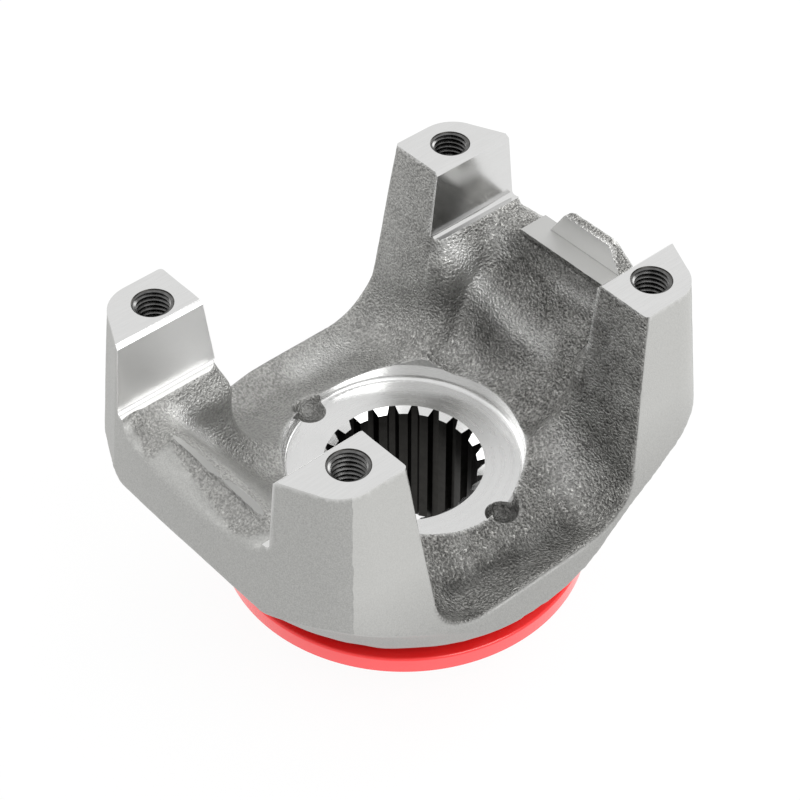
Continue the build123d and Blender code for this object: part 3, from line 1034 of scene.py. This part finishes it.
class YOKE_OT_dust_ring(bpy.types.Operator):
    """Spins the dust ring's section about the bore"""

    bl_idname = "yoke.dust_ring"
    bl_label = "Dust Ring"

    def execute(self, context):
        look = context.scene.yoke_ring
        outer, top = RING_HIGH.x, RING_HIGH.z
        inner, wall = RING_INNER_RADIUS, look.wall
        skirt = top - RING_SKIRT
        sleeve = top - RING_SLEEVE
        section = [
            (inner, top), (outer, top), (outer, skirt), (outer - wall, skirt),
            (outer - wall, top - wall), (inner + wall, top - wall), (inner + wall, sleeve),
            (inner, sleeve),
        ]
        body = bmesh.new()
        verts, edges = closed_outline(body, [(radius, 0.0, z) for radius, z in section])
        bmesh.ops.spin(
            body, geom=verts + edges, cent=(0, 0, 0), axis=(0, 0, 1), angle=2 * math.pi,
            steps=look.steps, use_merge=True)
        bmesh.ops.remove_doubles(body, verts=body.verts, dist=2 * WELD)
        bmesh.ops.recalc_face_normals(body, faces=body.faces)
        self.round_off(body, outer, top, look.rim_round, 4)
        self.round_off(body, outer, skirt, RING_SKIRT_ROUND, 2)
        # Painted reflection: vertices on the outer band take the paler red
        layer = body.verts.layers.float.new("band")
        for vertex in body.verts:
            radius = math.hypot(vertex.co.x, vertex.co.y)
            vertex[layer] = 1.0 if radius > outer - RING_BAND_NEAR else 0.0
        shade_round(body, math.radians(35))
        piece = new_piece("dust_ring_red", body, [red_gloss(look)])
        shade_evenly(piece)
        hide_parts("dust_ring")
        return {"FINISHED"}

    def round_off(self, body, radius, height, size, segments):
        """Bevels the ring's edge that lies at this radius and height."""
        rim = [edge for edge in body.edges if self.on_rim(edge, radius, height)]
        bmesh.ops.bevel(
            body, geom=rim, offset=size, segments=segments, profile=0.5, affect="EDGES",
            material=-1)

    def on_rim(self, edge, radius, height):
        places = [vertex.co for vertex in edge.verts]
        return all(
            abs(math.hypot(place.x, place.y) - radius) < NEAR and abs(place.z - height) < NEAR
            for place in places)


def add_lamp(name, spot, power):
    """Square soft lamp that looks at the yoke's middle."""
    data = bpy.data.lights.new(name, "AREA")
    data.shape = "SQUARE"
    data.size = LAMP_SIZE
    data.energy = power
    lamp = placed(name, data)
    lamp.location = spot
    lamp.rotation_mode = "QUATERNION"
    lamp.rotation_quaternion = (Vector(LAMP_AIM) - Vector(spot)).to_track_quat("-Z", "Y")


def place_camera():
    """Camera at the photograph's angle."""
    azimuth = math.radians(CAMERA_AZIMUTH)
    elevation = math.radians(CAMERA_ELEVATION)
    roll = math.radians(CAMERA_ROLL)
    level = math.cos(elevation)
    right = Vector((math.cos(azimuth), math.sin(azimuth), 0.0))
    back = Vector((math.sin(azimuth) * level, -math.cos(azimuth) * level, math.sin(elevation)))
    up = back.cross(right)
    rolled_right = right * math.cos(roll) + up * math.sin(roll)
    rolled_up = up * math.cos(roll) - right * math.sin(roll)
    eye = Vector((0.0, 0.0, TOP_Z)) + back * CAMERA_DISTANCE
    eye -= rolled_right * CAMERA_LEFT + rolled_up * CAMERA_DOWN
    data = bpy.data.cameras.new("camera")
    data.sensor_width = CAMERA_SENSOR
    data.lens = CAMERA_LENS
    camera = placed("camera", data)
    turn = Matrix((rolled_right, rolled_up, back)).transposed().to_4x4()
    camera.matrix_world = Matrix.Translation(eye) @ turn
    bpy.context.scene.camera = camera


def seen_directly(sheet):
    """1 for rays that show the background: the camera's, and those off or through gloss."""
    camera_ray = sheet.add("ShaderNodeLightPath", output="Is Camera Ray")
    glossy_ray = sheet.add("ShaderNodeLightPath", output="Is Glossy Ray")
    through_ray = sheet.add("ShaderNodeLightPath", output="Is Transmission Ray")
    return sheet.larger(camera_ray, sheet.larger(glossy_ray, through_ray))


def white_world(look):
    """Even light from all round, and plain white where the background is seen."""
    world = bpy.data.worlds.new("studio")
    bpy.context.scene.world = world
    world.use_nodes = True
    sheet = Sheet(world.node_tree)
    level = look.sky_level + (1.0 - look.sky_level) * seen_directly(sheet)
    light = sheet.add("ShaderNodeBackground", {}, {"Color": (*WHITE, 1.0), "Strength": level})
    sheet.add("ShaderNodeOutputWorld", {}, {"Surface": light})


def floor_cloth(look):
    """Pale matt cloth that reads as almost plain white and still takes the yoke's shadow."""
    material, sheet = new_material("studio_floor")
    tint = sheet.cloud(sheet.place(), 0.4, 1.0)
    colour = sheet.mix(0.04 * tint, look.floor_colour, WHITE)
    cloth = sheet.add(
        "ShaderNodeBsdfPrincipled", {},
        {"Base Color": colour, "Metallic": 0.0, "Roughness": 0.9, "Specular IOR Level": 0.2})
    white = sheet.add("ShaderNodeEmission", {}, {"Color": (*WHITE, 1.0), "Strength": 1.0})
    share = look.backdrop_share * seen_directly(sheet)
    shown = sheet.add("ShaderNodeMixShader", {}, {0: share, 1: cloth, 2: white})
    sheet.add("ShaderNodeOutputMaterial", {}, {"Surface": shown})
    return material


class YOKE_OT_stage(bpy.types.Operator):
    """Adds the floor, the lamps, the background and the camera"""

    bl_idname = "yoke.stage"
    bl_label = "Stage"

    def execute(self, context):
        look = context.scene.yoke_stage
        body = bmesh.new()
        bmesh.ops.create_circle(body, cap_ends=True, segments=FLOOR_STEPS, radius=FLOOR_RADIUS)
        mesh = bpy.data.meshes.new("floor")
        body.to_mesh(mesh)
        body.free()
        mesh.materials.append(floor_cloth(look))
        placed("floor", mesh)
        white_world(look)
        add_lamp("side_lamp", SIDE_LAMP_PLACE, look.side_power)
        add_lamp("far_lamp", FAR_LAMP_PLACE, look.far_power)
        add_lamp("near_lamp", NEAR_LAMP_PLACE, look.near_power)
        place_camera()
        context.scene.view_settings.view_transform = "Standard"
        return {"FINISHED"}


class YOKE_PT_panel(bpy.types.Panel):
    """Lists the yoke's pieces and their sizes"""

    bl_idname = "YOKE_PT_panel"
    bl_label = "Forged End Yoke"
    bl_space_type = "VIEW_3D"
    bl_region_type = "UI"
    bl_category = "Yoke"

    def draw(self, context):
        for group, operator in STEPS:
            box = self.layout.box()
            settings = getattr(context.scene, group)
            for name in settings.bl_rna.properties.keys():
                if name not in ("rna_type", "name"):
                    box.prop(settings, name)
            box.operator(operator)


STEPS = [
    ("yoke_forging", "yoke.forging"),
    ("yoke_threads", "yoke.threads"),
    ("yoke_ring", "yoke.dust_ring"),
    ("yoke_stage", "yoke.stage"),
]
GROUPS = {
    "yoke_forging": YokeForging,
    "yoke_threads": YokeThreads,
    "yoke_ring": YokeRing,
    "yoke_stage": YokeStage,
}
OPERATORS = [YOKE_OT_forging, YOKE_OT_threads, YOKE_OT_dust_ring, YOKE_OT_stage]


def register():
    for group in GROUPS.values():
        bpy.utils.register_class(group)
    for item in OPERATORS + [YOKE_PT_panel]:
        bpy.utils.register_class(item)
    for name, group in GROUPS.items():
        setattr(bpy.types.Scene, name, PointerProperty(type=group))


def unregister():
    for name in GROUPS:
        delattr(bpy.types.Scene, name)
    for item in [YOKE_PT_panel] + OPERATORS[::-1]:
        bpy.utils.unregister_class(item)
    for group in GROUPS.values():
        bpy.utils.unregister_class(group)


def main():
    register()
    bpy.ops.yoke.forging()
    bpy.ops.yoke.threads()
    bpy.ops.yoke.dust_ring()
    bpy.ops.yoke.stage()


if __name__ == "__main__":
    main()
